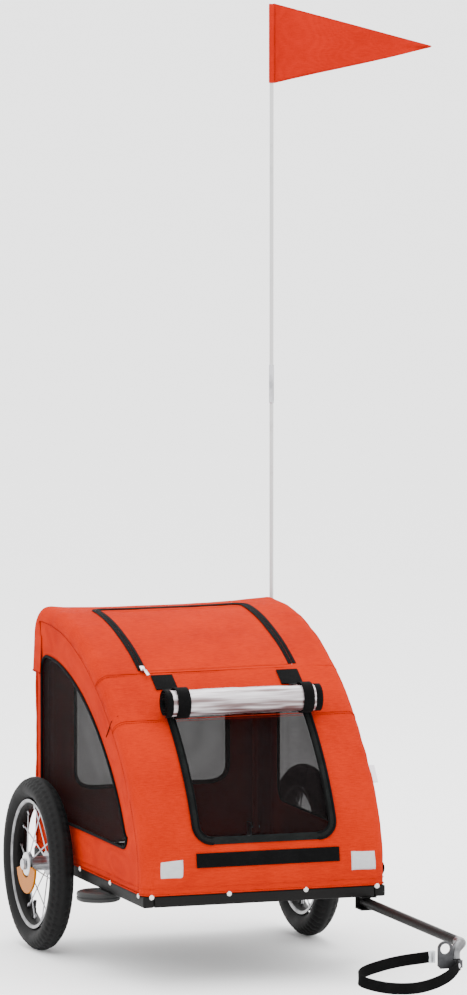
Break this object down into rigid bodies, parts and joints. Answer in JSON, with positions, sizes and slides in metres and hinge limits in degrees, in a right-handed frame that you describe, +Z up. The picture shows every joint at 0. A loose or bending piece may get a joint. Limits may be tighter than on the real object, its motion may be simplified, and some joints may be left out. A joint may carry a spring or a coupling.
{
  "type": "bicycle pet trailer",
  "caption": "Bicycle pet trailer: rounded fabric cabin with mesh windows and a zipped roof flap on a tube frame, spoked wheels, side tow arm, rolled rain cover and flag.",
  "frame": {"origin": "ground level, at the middle of the box round everything but the free safety strap", "axes": "+Z up; the cabin's nose and the tow arm point along -Y, so +X is the trailer's left side"},
  "size_m": [0.8278, 1.1903, 1.671],
  "materials": {
    "cover_orange": "coated woven polyester, dull sheen",
    "pennant_orange": "thin plain cloth",
    "frame_black": "black powder coat, satin",
    "mesh_black": "black net and lining cloth",
    "zinc": "zinc plate, bright",
    "tyre_rubber": "black, fine tread",
    "joint_rubber": "black, matt",
    "webbing": "black woven tape",
    "clear_film": "clear soft film, rolled",
    "reflector": "silver-white prismatic face",
    "amber": "amber, clear and glossy",
    "mast_white": "white glass-fibre rod",
    "buckle_clear": "translucent, moulded",
    "dark_plastic": "dark grey, moulded"
  },
  "bodies": {
    "cabin": {"arm_clevis": "frame_black", "axle_nut_left": "zinc", "axle_nut_right": "zinc", "axle_tube": "frame_black", "cover_tab_left": "webbing", "cover_tab_right": "webbing", "deflector_disc_left": "dark_plastic", "deflector_disc_right": "dark_plastic", "floor_panel": "mesh_black", "front_bow": "frame_black", "front_bow_bracket_left": "zinc", "front_bow_bracket_right": "zinc", "front_panel": "cover_orange", "front_rail": "frame_black", "front_reflector_left": "reflector", "front_reflector_right": "reflector", "front_window": "mesh_black", "hook_band": "webbing", "mast_socket": "frame_black", "rain_cover_roll": "clear_film", "rear_bow": "frame_black", "rear_bow_bracket_left": "zinc", "rear_bow_bracket_right": "zinc", "rear_panel": "cover_orange", "rear_rail": "frame_black", "rear_window": "mesh_black", "roll_strap_left": "webbing", "roll_strap_right": "webbing", "roof_panel": "cover_orange", "side_panel_left": "cover_orange", "side_panel_right": "cover_orange", "side_rail_left": "frame_black", "side_rail_right": "frame_black", "side_window_left": "mesh_black", "side_window_right": "mesh_black", "stub_axle_left": "zinc", "stub_axle_right": "zinc", "zip_slider": "zinc"},
    "wheel_left": {"tyre_left": "tyre_rubber", "rim_left": "zinc", "hub_left": "zinc", "spoke_reflector_left": "amber"},
    "wheel_right": {"tyre_right": "tyre_rubber", "rim_right": "zinc", "hub_right": "zinc", "spoke_reflector_right": "amber"},
    "roof_flap": {"roof_flap": "cover_orange"},
    "tow_arm": {"tow_arm": "frame_black"},
    "coupler": {"hitch_connector": "joint_rubber", "hitch_plate": "zinc", "safety_strap": "webbing", "strap_buckle": "buckle_clear"},
    "flag": {"mast": "mast_white", "pennant": "pennant_orange"}
  },
  "joints": [
    {"name": "wheel_left_spin", "type": "hinge", "parent": "cabin", "child": "wheel_left", "pos_m": [0.1249, 0.4274, 0.155], "axis": [1, 0, 0], "continuous": true},
    {"name": "wheel_right_spin", "type": "hinge", "parent": "cabin", "child": "wheel_right", "pos_m": [-0.3811, 0.4274, 0.155], "axis": [1, 0, 0], "continuous": true},
    {"name": "roof_flap_open", "type": "hinge", "parent": "cabin", "child": "roof_flap", "pos_m": [-0.1281, 0.1764, 0.5265], "axis": [1, 0, 0], "range_deg": [0, 130]},
    {"name": "arm_swing", "type": "hinge", "parent": "cabin", "child": "tow_arm", "pos_m": [0.0669, -0.0606, 0.1345], "axis": [0, 0, -1], "range_deg": [0, 90]},
    {"name": "coupler_turn", "type": "hinge", "parent": "tow_arm", "child": "coupler", "pos_m": [0.0489, -0.5676, 0.108], "axis": [0, 0, 1], "range_deg": [-90, 45]},
    {"name": "flag_turn", "type": "hinge", "parent": "cabin", "child": "flag", "pos_m": [0.1044, 0.5594, 0.262], "axis": [0, 0, 1], "continuous": true}
  ]
}
